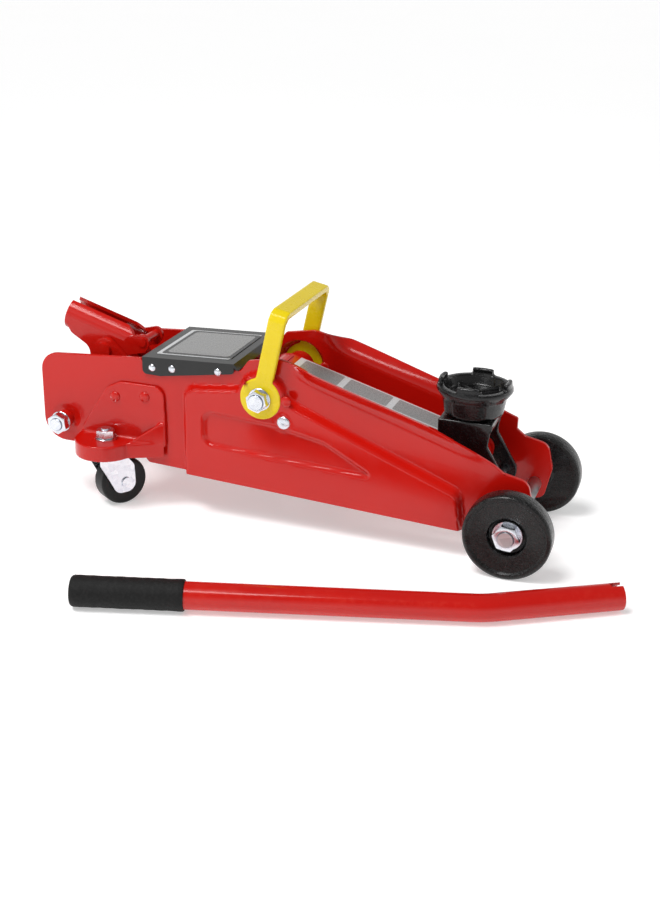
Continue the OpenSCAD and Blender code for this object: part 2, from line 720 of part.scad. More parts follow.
// drive pin seen in the socket's own axes
drive_rel = drive_pin - socket_pivot;
drive_local = [
    drive_rel[0] * cos(socket_tilt) - drive_rel[1] * sin(socket_tilt),
    drive_rel[0] * sin(socket_tilt) + drive_rel[1] * cos(socket_tilt)
];
web_outline = rounded([
    [-45, trough_seam, 0.5], [-45, 8, 4], [-36, trough_axis - 12, 6], [-17, -6, 10], [-13, -15, 4],
    [10, -15, 6], [20, 2, 8], [34, 10, 4], [36, 17, 3], [26, 20, 2], [21, trough_seam, 2]
]);

module socket_yoke() color("red") at_socket() difference() {
    union() {
        both_sides() slab_y(trough_in, trough_out) {
            polygon(web_outline);
            polygon(capsule([0, 0], 12, drive_local, 9));
            polygon(capsule([20, 12], 7, cross_at, 6.5));
        }
        difference() {
            bar_x(trough_out - 0.1, -45, 21, [0, trough_axis]);
            bar_x(trough_in + 0.05, -46, 22, [0, trough_axis]);
            translate([-46, -trough_slot, trough_axis]) cube([68, 2 * trough_slot, 20]);
            slab_y(-20, 20) polygon([[0, -20], [0, -3], [22, 10], [22, -20]]);
            slab_y(-20, 20) polygon([[6, 27], [22, 17], [22, 27]]);
        }
    }
    bar_y(5 + run, -20, 20, [0, 0]);
    bar_y(drive_r, -20, 20, drive_local);
    bar_y(4, -20, 20, cross_at);
}

module socket_cross_pin() color("red") at_socket() bar_y(3.98, -trough_out - 1, trough_out + 1, cross_at);
module pump_drive_pin() color("silver") bar_y(drive_r - 0.02, -trough_out, trough_out, drive_pin);

head_half = 8;
module pump_plunger() color("silver") difference() {
    union() {
        bar_x(plunger_r, drive_pin[0] + head_half - 1, plunger_end, [0, pump_z]);
        translate([drive_pin[0] - head_half, -7, pump_z - 9]) cube([2 * head_half, 14, 18]);
    }
    slab_y(-10, 10) polygon(rounded([
        [drive_pin[0] - drive_r - 0.4, pump_z - 5.3, 4], [drive_pin[0] + drive_r + 0.4, pump_z - 5.3, 4],
        [drive_pin[0] + drive_r + 0.4, pump_z + 5.3, 4], [drive_pin[0] - drive_r - 0.4, pump_z + 5.3, 4]
    ]));
}

// ---------------------------------------------------------------- carry handle and front wheels

carry_w = 14.5;

module carry_handle() color("gold") translate([pivot[0], 0, pivot[1]]) rotate([0, carry_lean, 0])
difference() {
    union() {
        both_sides() slab_y(carry_in, carry_out) {
            circle(r = 17.5);
            translate([-carry_w / 2, 0]) square([carry_w, carry_len - 8]);
        }
        both_sides() translate([-carry_w / 2, 0, 0]) rotate([90, 0, 90]) linear_extrude(carry_w) polygon([
            [carry_in, carry_len - 9], [carry_out, carry_len - 9], [carry_out, carry_len - 3],
            [carry_out - 2.5, carry_len + 2], [carry_out - 8, carry_len + 5], [carry_in - 9, carry_len + 5],
            [carry_in - 9, carry_len - 1], [carry_in - 4, carry_len - 1], [carry_in, carry_len - 5]
        ]);
        translate([-carry_w / 2, -carry_in + 9, carry_len - 1]) cube([carry_w, 2 * carry_in - 18, 6]);
    }
    bar_y(stub_r + run, -100, 100, [0, 0]);
}

rim_r = wheel_d / 2;
wheel_profile = rounded([
    [0, wheel_in, 0], [11, wheel_in, 0], [13, wheel_in + 2, 0], [rim_r - 6, wheel_in + 2, 0],
    [rim_r - 4, wheel_in, 0], [rim_r, wheel_in, 2.5], [rim_r, wheel_out, 2.5],
    [rim_r - 3.5, wheel_out, 0], [rim_r - 5, wheel_out - 1.5, 0], [17, wheel_out - 1.5, 0],
    [14.5, hub_seat, 0], [0, hub_seat, 0]
]);

module front_wheel(side) color([0.12, 0.12, 0.13]) on_side(side) difference() {
    translate([axle_x, 0, axle_z]) rotate([-90, 0, 0]) rotate_extrude($fn = 96) polygon(wheel_profile);
    bar_y(axle_r + run, 0, wheel_out + 1, [axle_x, axle_z]);
}

// ---------------------------------------------------------------- pump handle

// moves a handle part from its own axes, with +X along the grip, to its place on the floor
module on_floor() on_jack() translate([handle_start[0], handle_start[1], handle_z])
    rotate([0, 0, handle_turn]) rotate([0, handle_tilt, 0]) children();

// wall of the tube in section, thinned by a little on both sides where it is bent
module ring(thin = 0) difference() {
    circle(r = tube_r - thin);
    circle(r = tube_r - 2 + thin);
}

// moves a shape drawn at the end of the bend to that end
module past_bend() translate([tube_straight + bend_r * sin(tube_bend), bend_r * (1 - cos(tube_bend)), 0])
    rotate([0, 0, tube_bend]) children();

module handle_tube() color("red") {
    translate([2.5, 0, 0]) rotate([90, 0, 90]) linear_extrude(tube_straight - 2.5) ring();
    translate([tube_straight, bend_r, 0]) rotate([0, 0, -90])
        rotate_extrude(angle = tube_bend) translate([bend_r, 0]) ring(0.05);
    past_bend() difference() {
        rotate([90, 0, 90]) linear_extrude(tube_tip) ring();
        translate([tube_tip - 9, -2.75, -20]) cube([20, 5.5, 40]);
    }
}

module handle_grip() color([0.1, 0.1, 0.1]) difference() {
    union() {
        bar_x(grip_r, grip_edge, grip_len);
        bar_x(grip_r - grip_edge, 0, grip_edge + 0.5);
    }
    bar_x(tube_r + 0.02, 2.5, grip_len + 1);
}

on_jack() side_plate(-1);  // side_plate_right
on_jack() side_plate(1);  // side_plate_left
on_jack() front_axle();
on_jack() axle_spacers();
on_jack() hub_nuts();
on_jack() rear_tie_rod();
on_jack() tie_rod_collars();
on_jack() tie_rod_nuts();
on_jack() arm_pivot_shaft();
on_jack() pivot_nuts();
on_jack() link_studs();
on_jack() plate_rivets();
on_jack() on_side(-1) caster_bracket();  // caster_bracket_right
on_jack() on_side(1) caster_bracket();  // caster_bracket_left
on_jack() caster_king_bolts();
on_jack() caster_king_nuts();
on_jack() power_unit_block();
on_jack() power_unit_bolts();
on_jack() ram_cylinder();
on_jack() reservoir_shell();
on_jack() cylinder_gland();
on_jack() ram_return_spring();
on_jack() pump_barrel();
on_jack() pump_gland_nut();
on_jack() filler_plug();
on_jack() socket_pivot_bolts();
on_jack() top_cover();
on_jack() cover_label();
on_jack() cover_screws();
on_jack() lift_arm();
on_jack() push_pin();
on_jack() arm_label();
on_jack() saddle_bracket();
on_jack() head_pin();
on_jack() foot_pin();
on_jack() saddle();
on_jack() saddle_ring();
on_jack() level_link(-1);  // level_link_right
on_jack() level_link(1);  // level_link_left
on_jack() ram();
on_jack() piston_seal();
on_jack() socket_yoke();
on_jack() socket_cross_pin();
on_jack() pump_drive_pin();
on_jack() pump_plunger();
on_jack() release_valve();
on_jack() carry_handle();
on_jack() front_wheel(-1);  // front_wheel_right
on_jack() front_wheel(1);  // front_wheel_left
on_jack() caster_fork(-1);  // caster_fork_right
on_jack() caster_axle(-1);  // caster_axle_right
on_jack() caster_wheel(-1);  // caster_wheel_right
on_jack() caster_fork(1);  // caster_fork_left
on_jack() caster_axle(1);  // caster_axle_left
on_jack() caster_wheel(1);  // caster_wheel_left
on_floor() handle_tube();
on_floor() handle_grip();
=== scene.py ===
"""Studio scene of a compact hydraulic trolley jack with its loose pump handle.

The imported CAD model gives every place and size. This script adds pressed, cast and threaded detail,
materials, a pale floor, soft light and the camera.
Lengths named in millimetres are in the jack's own coordinates: X forward from the middle of the jack,
Y to its left from its middle plane, Z up from the floor. at() turns them into metres in the frame.
"""
import math

import bmesh
import bpy
import numpy as np
from mathutils import Matrix, Vector
from mathutils.geometry import delaunay_2d_cdt


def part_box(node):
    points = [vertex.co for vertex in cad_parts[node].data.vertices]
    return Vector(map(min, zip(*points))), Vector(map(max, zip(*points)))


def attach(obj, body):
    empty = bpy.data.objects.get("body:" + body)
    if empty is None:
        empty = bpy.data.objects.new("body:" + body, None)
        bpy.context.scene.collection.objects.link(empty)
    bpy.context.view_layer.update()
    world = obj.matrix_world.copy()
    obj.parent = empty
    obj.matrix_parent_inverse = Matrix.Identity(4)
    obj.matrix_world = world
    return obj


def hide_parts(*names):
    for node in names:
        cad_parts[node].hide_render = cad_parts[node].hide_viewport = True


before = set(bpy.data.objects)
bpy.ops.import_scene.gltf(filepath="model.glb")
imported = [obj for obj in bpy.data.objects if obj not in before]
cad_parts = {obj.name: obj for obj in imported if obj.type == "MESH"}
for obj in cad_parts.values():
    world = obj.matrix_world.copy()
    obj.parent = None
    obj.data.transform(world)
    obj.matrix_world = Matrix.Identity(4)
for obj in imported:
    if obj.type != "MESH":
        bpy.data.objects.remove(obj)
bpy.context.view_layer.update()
MM = 0.001


# ---------------------------------------------------------------- places, taken from the frame

def low(node):
    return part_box(node)[0]


def high(node):
    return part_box(node)[1]


def middle(node):
    return (low(node) + high(node)) / 2


PIVOT = Vector((-20.5, 0, 113))
JACK = middle("arm_pivot_shaft") - PIVOT * MM


def at(x, y, z):
    """A point in the jack's own coordinates, in millimetres, as metres in the frame."""
    return JACK + Vector((x, y, z)) * MM


def from_middle(node):
    """How far a left-hand node reaches from the middle plane, lowest and highest, in millimetres."""
    return (low(node).y - JACK.y) / MM, (high(node).y - JACK.y) / MM


def spot(node):
    """The X and Z of a node's middle, in the jack's own coordinates."""
    place = (middle(node) - JACK) / MM
    return Vector((place.x, place.z))


SIDES = {"right": -1, "left": 1}
PLATE_IN, PLATE_OUT = from_middle("side_plate_left")
PLATE_T = 3.5
PLATE_BASE = PLATE_IN + PLATE_T
PRESS_OUT = PLATE_OUT - PLATE_BASE
REAR_X = (low("side_plate_left").x - JACK.x) / MM
AXLE = spot("front_axle")
TIE_ROD = spot("rear_tie_rod")


# ---------------------------------------------------------------- outlines

def heading(angle):
    return Vector((math.cos(angle), math.sin(angle)))


def arc(centre, radius, start, end, steps):
    """Points on an arc, with its angles in radians."""
    return [centre + radius * heading(start + (end - start) * i / steps) for i in range(steps + 1)]


def corner(before, point, after, radius, steps=8):
    """A corner of an outline, rounded to a radius."""
    if radius == 0:
        return [point]
    u = (before - point).normalized()
    v = (after - point).normalized()
    half = math.acos(max(-1, min(1, u.dot(v)))) / 2
    centre = point + (u + v).normalized() * radius / math.sin(half)
    first = point + u * radius / math.tan(half) - centre
    last = point + v * radius / math.tan(half) - centre
    start = math.atan2(first.y, first.x)
    turn = math.atan2(last.y, last.x) - start
    turn = (turn + math.pi) % (2 * math.pi) - math.pi
    return arc(centre, radius, start, start + turn, steps)


def rounded(rows):
    """An outline from (x, y, corner radius) rows."""
    points = [Vector(row[:2]) for row in rows]
    outline = []
    for i, row in enumerate(rows):
        outline += corner(points[i - 1], points[i], points[(i + 1) % len(rows)], row[2])
    return outline


def evenly(outline, step):
    """The same closed outline with no side longer than step."""
    points = []
    for i, point in enumerate(outline):
        after = outline[(i + 1) % len(outline)]
        pieces = max(1, math.ceil((after - point).length / step))
        points += [point.lerp(after, k / pieces) for k in range(pieces)]
    return points


def inside_distance(points, outline):
    """Distance of each point from an outline, counted positive inside it."""
    start = np.array(outline, float)
    end = np.roll(start, -1, axis=0)
    along = end - start
    nearest = np.full(len(points), 1e9)
    crossings = np.zeros(len(points), int)
    for a, b, d in zip(start, end, along):
        t = np.clip(((points - a) @ d) / max(d @ d, 1e-12), 0, 1)
        nearest = np.minimum(nearest, np.linalg.norm(points - a - t[:, None] * d, axis=1))
        spans = (a[1] > points[:, 1]) != (b[1] > points[:, 1])
        if a[1] != b[1]:
            reach = a[0] + (points[:, 1] - a[1]) * d[0] / d[1]
            crossings += spans & (points[:, 0] < reach)
    return np.where(crossings % 2 == 1, nearest, -nearest)


def smooth_step(value):
    value = np.clip(value, 0, 1)
    return value * value * (3 - 2 * value)


# ---------------------------------------------------------------- mesh helpers

def new_piece(name, build, body, material, replaces=(), smooth_angle=38):
    """Makes a piece from a bmesh that build fills, and puts it on its body."""
    mesh = bpy.data.meshes.new(name)
    work = bmesh.new()
    build(work)
    bmesh.ops.recalc_face_normals(work, faces=work.faces)
    work.to_mesh(mesh)
    work.free()
    mesh.shade_smooth()
    mesh.set_sharp_from_angle(angle=math.radians(smooth_angle))
    piece = bpy.data.objects.new(name, mesh)
    bpy.context.scene.collection.objects.link(piece)
    piece.data.materials.append(material)
    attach(piece, body)
    if replaces:
        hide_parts(*replaces)
    return piece


def bevel(piece, width, segments=2, angle=35):
    """Rounds a piece's sharp edges by a width in millimetres."""
    modifier = piece.modifiers.new("rounded edges", "BEVEL")
    modifier.width = width * MM
    modifier.segments = segments
    modifier.limit_method = "ANGLE"
    modifier.angle_limit = math.radians(angle)
    modifier.use_clamp_overlap = True
    modifier.harden_normals = True


def frame_of(axis):
    """A rotation that turns +Z to an axis."""
    return Vector((0, 0, 1)).rotation_difference(Vector(axis)).to_matrix().to_4x4()


def ring_point(turn, radius, angle, height):
    """A point at a radius, angle and height in millimetres, moved by a turn that is in metres."""
    return turn @ (Vector((radius * math.cos(angle), radius * math.sin(angle), height)) * MM)


def lathe(work, profile, place, axis, segments=48):
    """Turns (radius, height) points in millimetres about an axis through a place in metres."""
    turn = Matrix.Translation(place) @ frame_of(axis)
    rings = []
    for radius, height in profile:
        if radius == 0:
            rings.append([work.verts.new(turn @ Vector((0, 0, height * MM)))])
            continue
        angles = [2 * math.pi * k / segments for k in range(segments)]
        rings.append([work.verts.new(ring_point(turn, radius, angle, height)) for angle in angles])
    join_rings(work, rings)


def join_rings(work, rings, closed=False):
    """Fills the faces between rings of vertices; a ring of one vertex is a tip."""
    pairs = list(zip(rings, rings[1:]))
    if closed:
        pairs.append((rings[-1], rings[0]))
    for first, second in pairs:
        count = max(len(first), len(second))
        for k in range(count):
            after = (k + 1) % count
            if len(first) == 1:
                work.faces.new((first[0], second[k], second[after]))
            elif len(second) == 1:
                work.faces.new((first[k], second[0], first[after]))
            else:
                work.faces.new((first[k], second[k], second[after], first[after]))


def hexagon_radius(angle, flats):
    """Distance from the middle to the side of a hexagon, at an angle."""
    return flats / 2 / math.cos((angle + math.pi / 6) % (math.pi / 3) - math.pi / 6)


def nut(work, flats, height, bore, place, axis, turned):
    """A hexagon nut whose corners are turned down at both ends, with a countersunk bore."""
    turn = Matrix.Translation(place) @ frame_of(axis) @ Matrix.Rotation(turned, 4, "Z")
    segments = 72
    sink = 0.8
    chamfer = 0.55
    shoulder = flats / 2 * 0.96
    rings = []
    levels = [
        ("bore", sink), ("bore", height - sink), ("mouth", height), ("shoulder", height), ("side", height),
        ("side", 0), ("shoulder", 0), ("mouth", 0)
    ]
    for kind, level in levels:
        ring = []
        for k in range(segments):
            angle = 2 * math.pi * k / segments
            side = hexagon_radius(angle, flats)
            radius = {"bore": bore, "mouth": bore + sink, "shoulder": shoulder, "side": side}[kind]
            drop = (side - shoulder) * chamfer if kind == "side" else 0
            z = level - drop if level > height / 2 else level + drop
            ring.append(work.verts.new(ring_point(turn, radius, angle, z)))
        rings.append(ring)
    join_rings(work, rings, closed=True)


def washer(work, bore, radius, thickness, place, axis):
    """A flat washer with slightly rounded edges."""
    lathe(work, [
        (bore, 0), (radius - 0.2, 0), (radius, 0.2), (radius, thickness - 0.25), (radius - 0.25, thickness),
        (bore + 0.15, thickness), (bore, thickness - 0.15), (bore, 0)
    ], place, axis)


def dome(work, radius, height, place, axis):
    """A domed rivet or bolt head, sunk a little into the face under it."""
    sunk, edge = 0.4, 0.15
    profile = [(0, -sunk), (radius, -sunk), (radius, edge)]
    for k in range(1, 8):
        angle = k * math.pi / 16
        profile.append((radius * math.cos(angle), edge + (height - edge) * math.sin(angle)))
    profile.append((0, height))
    lathe(work, profile, place, axis, 32)


def remeshed(name, node, body, material, voxel, passes):
    """A copy of a CAD node with all its edges and inner corners softened, as a casting or pressing has."""
    piece = bpy.data.objects.new(name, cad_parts[node].data.copy())
    bpy.context.scene.collection.objects.link(piece)
    remesh = piece.modifiers.new("even mesh", "REMESH")
    remesh.mode = "VOXEL"
    remesh.voxel_size = voxel * MM
    remesh.use_smooth_shade = True
    soften = piece.modifiers.new("soft edges", "SMOOTH")
    soften.factor = 0.5
    soften.iterations = passes
    piece.data.materials.clear()
    piece.data.materials.append(material)
    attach(piece, body)
    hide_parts(node)
    return piece


# ---------------------------------------------------------------- materials

class Shade:
    """A small helper round one material's node tree."""

    def __init__(self, name, **values):
        self.material = bpy.data.materials.new(name)
        self.material.use_nodes = True
        self.tree = self.material.node_tree
        self.shader = self.tree.nodes["Principled BSDF"]
        self.place = self.tree.nodes.new("ShaderNodeTexCoord").outputs["Object"]
        for socket, value in values.items():
            self.shader.inputs[socket.replace("_", " ")].default_value = value

    def node(self, kind, inputs=(), **settings):
        """Adds a node; an input may be a number, a colour or another node's output."""
        made = self.tree.nodes.new(kind)
        for key, value in settings.items():
            setattr(made, key, value)
        for key, value in dict(inputs).items():
            if isinstance(value, bpy.types.NodeSocket):
                self.tree.links.new(value, made.inputs[key])
            else:
                made.inputs[key].default_value = value
        return made

    def noise(self, scale, detail=3.0, roughness=0.5):
        """Smooth noise; scale is in features per metre."""
        return self.node("ShaderNodeTexNoise", {
            "Vector": self.place, "Scale": scale, "Detail": detail, "Roughness": roughness
        }).outputs["Fac"]

    def between(self, value, start, end, to_start, to_end):
        """Maps a value from one span to another, held at its ends."""
        return self.node("ShaderNodeMapRange", {
            "Value": value, "From Min": start, "From Max": end, "To Min": to_start, "To Max": to_end
        }).outputs["Result"]

    def mix(self, factor, first, second):
        """Blends two colours."""
        made = self.node("ShaderNodeMix", data_type="RGBA")
        for name, value in (("Factor", factor), ("A", first), ("B", second)):
            target = next(s for s in made.inputs if s.name == name and (s.type == "RGBA" or name == "Factor"))
            if isinstance(value, bpy.types.NodeSocket):
                self.tree.links.new(value, target)
            else:
                target.default_value = value
        return next(s for s in made.outputs if s.type == "RGBA")

    def edges(self, start, end):
        """1 on a surface's convex edges, 0 elsewhere."""
        return self.between(self.node("ShaderNodeNewGeometry").outputs["Pointiness"], start, end, 0, 1)

    def times(self, a, b):
        return self.node("ShaderNodeMath", {0: a, 1: b}, operation="MULTIPLY").outputs[0]

    def plus(self, a, b):
        return self.node("ShaderNodeMath", {0: a, 1: b}, operation="ADD").outputs[0]

    def colour(self, socket):
        self.tree.links.new(socket, self.shader.inputs["Base Color"])

    def roughness(self, socket):
        self.tree.links.new(socket, self.shader.inputs["Roughness"])

    def bump(self, height, distance):
        """Bump from a height field; distance in millimetres."""
        made = self.node("ShaderNodeBump", {"Height": height, "Distance": distance * MM})
        self.tree.links.new(made.outputs["Normal"], self.shader.inputs["Normal"])


def paint(name, colour, deep, worn, peel=0.05, cast=0.0, gloss=0.15, coat=0.3):
    """Gloss paint or powder coat: orange peel, slight cloudiness, and thinner paint along sharp edges."""
    shade = Shade(name, Coat_Weight=coat, Coat_Roughness=0.07, Specular_IOR_Level=0.3)
    tone = shade.mix(shade.between(shade.noise(14, 2, 0.5), 0.35, 0.65, 0, 0.5), colour, deep)
    patches = shade.between(shade.noise(160, 4, 0.6), 0.45, 0.7, 0, 0.3)
    shade.colour(shade.mix(shade.times(shade.edges(0.56, 0.66), patches), tone, worn))
    shade.roughness(shade.between(shade.noise(70, 3, 0.6), 0.3, 0.7, gloss - 0.03, gloss + 0.06))
    surface = shade.times(shade.noise(620, 2), peel)
    if cast:
        surface = shade.plus(surface, shade.times(shade.noise(300, 3, 0.6), cast))
    shade.bump(surface, 1.0)
    return shade.material


def metal(name, colour, tint, rough, scratches=0.02, spangle=220):
    """Plated or machined steel, with faint spangle and fine scratches."""
    shade = Shade(name, Metallic=1.0)
    cells = shade.node("ShaderNodeTexVoronoi", {"Vector": shade.place, "Scale": spangle}).outputs["Color"]
    grey = shade.node("ShaderNodeRGBToBW", {"Color": cells}).outputs[0]
    smudge = shade.noise(60, 5, 0.7)
    shade.colour(shade.mix(shade.between(shade.plus(grey, smudge), 0.6, 1.5, 0, 1), colour, tint))
    shade.roughness(shade.between(smudge, 0.3, 0.7, rough - 0.06, rough + 0.14))
    shade.bump(shade.times(shade.noise(1900, 3, 0.7), scratches), 1.0)
    return shade.material


def black_casting(name, colour, lumps, scale, rough, coat):
    """Black paint over a casting whose skin shows through as lumps."""
    shade = Shade(name, Coat_Weight=coat, Coat_Roughness=0.1, Specular_IOR_Level=0.25)
    mottle = shade.noise(scale, 4, 0.62)
    grain = shade.noise(scale * 4, 3, 0.6)
    lighter = (colour[0] * 2.6, colour[1] * 2.5, colour[2] * 2.5, 1)
    shade.colour(shade.mix(shade.between(mottle, 0.45, 0.75, 0, 1), colour, lighter))
    shade.roughness(shade.between(grain, 0.3, 0.7, rough - 0.08, rough + 0.12))
    shade.bump(shade.plus(shade.times(mottle, lumps), shade.times(grain, lumps * 0.2)), 1.0)
    return shade.material


RED = (0.54, 0.007, 0.003, 1)
RED_DEEP = (0.46, 0.005, 0.003, 1)
RED_WORN = (0.62, 0.04, 0.025, 1)
BLACK = (0.003, 0.003, 0.0032, 1)
BLACK_DEEP = (0.002, 0.002, 0.002, 1)
BLACK_WORN = (0.02, 0.02, 0.021, 1)

red_paint = paint("red powder coat", RED, RED_DEEP, RED_WORN)
red_tube = paint("red tube enamel", RED, RED_DEEP, RED_WORN, peel=0.02, gloss=0.16)
red_casting = paint("red paint on casting", RED, RED_DEEP, RED_WORN, peel=0.05, cast=0.35)
black_paint = paint("black gloss paint", BLACK, BLACK_DEEP, BLACK_WORN, peel=0.05, gloss=0.16, coat=0.4)
black_saddle = black_casting("black gloss casting", BLACK, 0.8, 190, 0.2, 0.5)
wheel_black = black_casting("mottled wheel casting", (0.004, 0.004, 0.004, 1), 1.1, 250, 0.26, 0.25)
nylon = black_casting("black nylon", (0.004, 0.004, 0.0042, 1), 0.06, 700, 0.38, 0.0)
yellow_paint = paint(
    "yellow powder coat", (0.78, 0.60, 0.003, 1), (0.72, 0.53, 0.002, 1), (0.84, 0.68, 0.04, 1),
    peel=0.10, gloss=0.26
)
zinc = metal("bright zinc", (0.80, 0.82, 0.86, 1), (0.62, 0.65, 0.72, 1), 0.2)
steel = metal("ground steel", (0.62, 0.62, 0.63, 1), (0.45, 0.45, 0.46, 1), 0.3, spangle=60)
rubber = black_casting("soft black rubber", (0.005, 0.005, 0.005, 1), 0.5, 420, 0.62, 0.0)


def label_film(name, colour):
    """Printed film: an even colour with a faint grain and a soft gloss."""
    shade = Shade(name, Coat_Weight=0.4, Coat_Roughness=0.12, Specular_IOR_Level=0.4)
    grain = shade.noise(900, 2)
    darker = tuple(0.88 * value for value in colour[:3]) + (1,)
    shade.colour(shade.mix(shade.between(grain, 0.4, 0.6, 0, 0.5), colour, darker))
    shade.roughness(shade.between(grain, 0.3, 0.7, 0.22, 0.32))
    shade.bump(grain, 0.02)
    return shade.material


pale_film = label_film("pale label film", (0.62, 0.63, 0.64, 1))
grey_film = label_film("grey label film", (0.27, 0.27, 0.27, 1))
dark_film = label_film("dark label film", (0.012, 0.012, 0.014, 1))

for node_name, material in {
    "front_axle": steel, "axle_spacers": zinc, "rear_tie_rod": zinc, "arm_pivot_shaft": zinc,
    "tie_rod_collars": red_paint, "caster_king_bolts": zinc, "power_unit_block": red_casting,
    "ram_cylinder": steel, "reservoir_shell": red_paint, "cylinder_gland": steel, "ram_return_spring": steel,
    "pump_barrel": steel, "pump_gland_nut": zinc, "filler_plug": rubber, "socket_pivot_bolts": red_paint,
    "top_cover": black_paint, "lift_arm": red_paint, "push_pin": steel, "head_pin": black_paint,
    "foot_pin": zinc, "saddle_ring": zinc, "level_link_right": red_paint, "level_link_left": red_paint,
    "ram": steel, "piston_seal": rubber, "socket_yoke": red_paint, "socket_cross_pin": red_paint,
    "pump_drive_pin": zinc, "pump_plunger": steel, "release_valve": zinc,
    "caster_fork_right": zinc, "caster_axle_right": zinc, "caster_fork_left": zinc, "caster_axle_left": zinc,
    "caster_wheel_right": nylon, "caster_wheel_left": nylon, "handle_tube": red_tube,
    "link_studs": zinc, "plate_rivets": red_paint, "power_unit_bolts": red_paint, "cover_screws": zinc,
    "front_wheel_right": wheel_black, "front_wheel_left": wheel_black, "handle_grip": rubber,
    "carry_handle": yellow_paint, "saddle": black_saddle, "saddle_bracket": black_saddle,
    "caster_bracket_right": red_paint, "caster_bracket_left": red_paint,
    "hub_nuts": zinc, "pivot_nuts": zinc, "tie_rod_nuts": zinc, "caster_king_nuts": zinc,
    "side_plate_right": red_paint, "side_plate_left": red_paint,
    "cover_label": pale_film, "arm_label": pale_film,
}.items():
    node_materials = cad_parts[node_name].data.materials
    node_materials.clear()
    node_materials.append(material)

for node_name, width in {
    "top_cover": 0.8, "lift_arm": 1.4, "socket_yoke": 0.9, "level_link_right": 0.8, "level_link_left": 0.8,
    "tie_rod_collars": 0.6, "arm_pivot_shaft": 0.8, "front_axle": 0.8, "rear_tie_rod": 0.8,
    "caster_fork_right": 0.6, "caster_fork_left": 0.6, "caster_wheel_right": 0.5, "caster_wheel_left": 0.5,
    "socket_cross_pin": 0.7, "socket_pivot_bolts": 1.2, "release_valve": 0.7, "power_unit_block": 1.2,
    "pump_gland_nut": 0.6, "cylinder_gland": 0.6, "handle_tube": 0.4, "caster_axle_right": 0.5,
    "caster_axle_left": 0.5, "foot_pin": 0.6, "head_pin": 0.6, "pump_plunger": 0.6,
}.items():
    bevel(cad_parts[node_name], width)


# ---------------------------------------------------------------- pressed side plates

# outline corners are (X, Z, corner radius)
PLATE_REAR = [
    (REAR_X, 47.5, 20), (REAR_X, 125, 16), (-130, 131.5, 1.5), (-129, 129, 1), (-41, 131.5, 2),
    (-34, 141, 3), (-8, 145.5, 12), (22, 138.5, 14)
]
PLATE_NOSE = [
    (179, 75.5, 4), (199, 71, 10), (204, 50, 12), (198, 21.4, 8), (-126, 38.6, 3), (-133, 47, 4)
]
# the top edges of the two plates end differently in front
PLATE_OUTLINES = {
    "left": rounded(PLATE_REAR + [(172, 90.5, 2), (172, 81, 2)] + PLATE_NOSE),
    "right": rounded(PLATE_REAR + [(120, 107.1, 40), (172, 80.6, 6)] + PLATE_NOSE),
}
FIELD = rounded([
    (-90, 10, 0), (-90, 112.5, 10), (-38, 118.5, 8), (-3, 117, 6), (8, 109.5, 10), (86, 78.5, 40),
    (146, 55, 10), (152, 10, 0)
])
PANEL = rounded([(-71, 95, 8), (-71, 66.5, 8), (78, 58, 2), (34, 82, 10), (-10, 91, 12)])
FIELD_RAMP = 4.0
PANEL_RAMP = 3.2
PANEL_DEPTH = 2.8
EYE_RADIUS = 22
# (X, Z, radius, depth) of the rings pressed in round the upper rivet and the tie rod
DIMPLES = [(-2.5, 94.5, 9.5, 0.7), (TIE_ROD.x, TIE_ROD.y, 14, 0.8)]

# lip that turns outwards along the sloping top edge
LIP_START = Vector((22, 138.5))
LIP_END = Vector((172, 90.5))
LIP_OUT = 8.6
LIP_DEPTH = 14


def ramp(value):
    """0 to 1 in a straight line with softened ends."""
    value = np.clip(value, 0, 1)
    return 0.65 * value + 0.35 * smooth_step(value)


def lip_height(points):
    """How far the sloping top edge is turned outwards at each X and Z."""
    along = (LIP_END - LIP_START).normalized()
    down = Vector((along.y, -along.x))
    below = (points - np.array(LIP_START)) @ np.array(down)
    ahead = points[:, 0]
    swell = smooth_step(ahead / 26) * (0.72 + 0.28 * smooth_step((110 - ahead) / 80))
    swell *= smooth_step((LIP_END.x - ahead) / 36)
    return LIP_OUT * swell * np.clip(1 - np.maximum(below, 0) / LIP_DEPTH, 0, 1) ** 2


def pressed_height(points):
    """How far the plate is pressed outwards at each X and Z, in millimetres."""
    height = PRESS_OUT * ramp(inside_distance(points, FIELD) / FIELD_RAMP + 0.35)
    height -= PANEL_DEPTH * ramp(inside_distance(points, PANEL) / PANEL_RAMP + 0.5)
    for x, z, radius, depth in DIMPLES:
        reach = np.hypot(points[:, 0] - x, points[:, 1] - z)
        height -= depth * smooth_step((radius - reach) / 5) * smooth_step((reach - radius * 0.35) / 3)
    eye = np.hypot(points[:, 0] - PIVOT.x, points[:, 1] - PIVOT.z)
    seat = smooth_step((EYE_RADIUS - eye) / 3)
    return height * (1 - seat) + PRESS_OUT * seat + lip_height(points)


def plate_skin(border):
    """A plate's flat triangulation over an even grid, as its points and its faces."""
    outline = evenly(border, 1.5)
    pitch = 1.4
    grid = np.array([(x, z) for x in np.arange(REAR_X, 206, pitch) for z in np.arange(20, 148, pitch)])
    inner = [Vector(p) for p in grid[inside_distance(grid, border) > 0.9]]
    ring = list(range(len(outline)))
    filled = delaunay_2d_cdt(outline + inner, [], [ring], 1, 1e-5)
    return filled[0], filled[2]


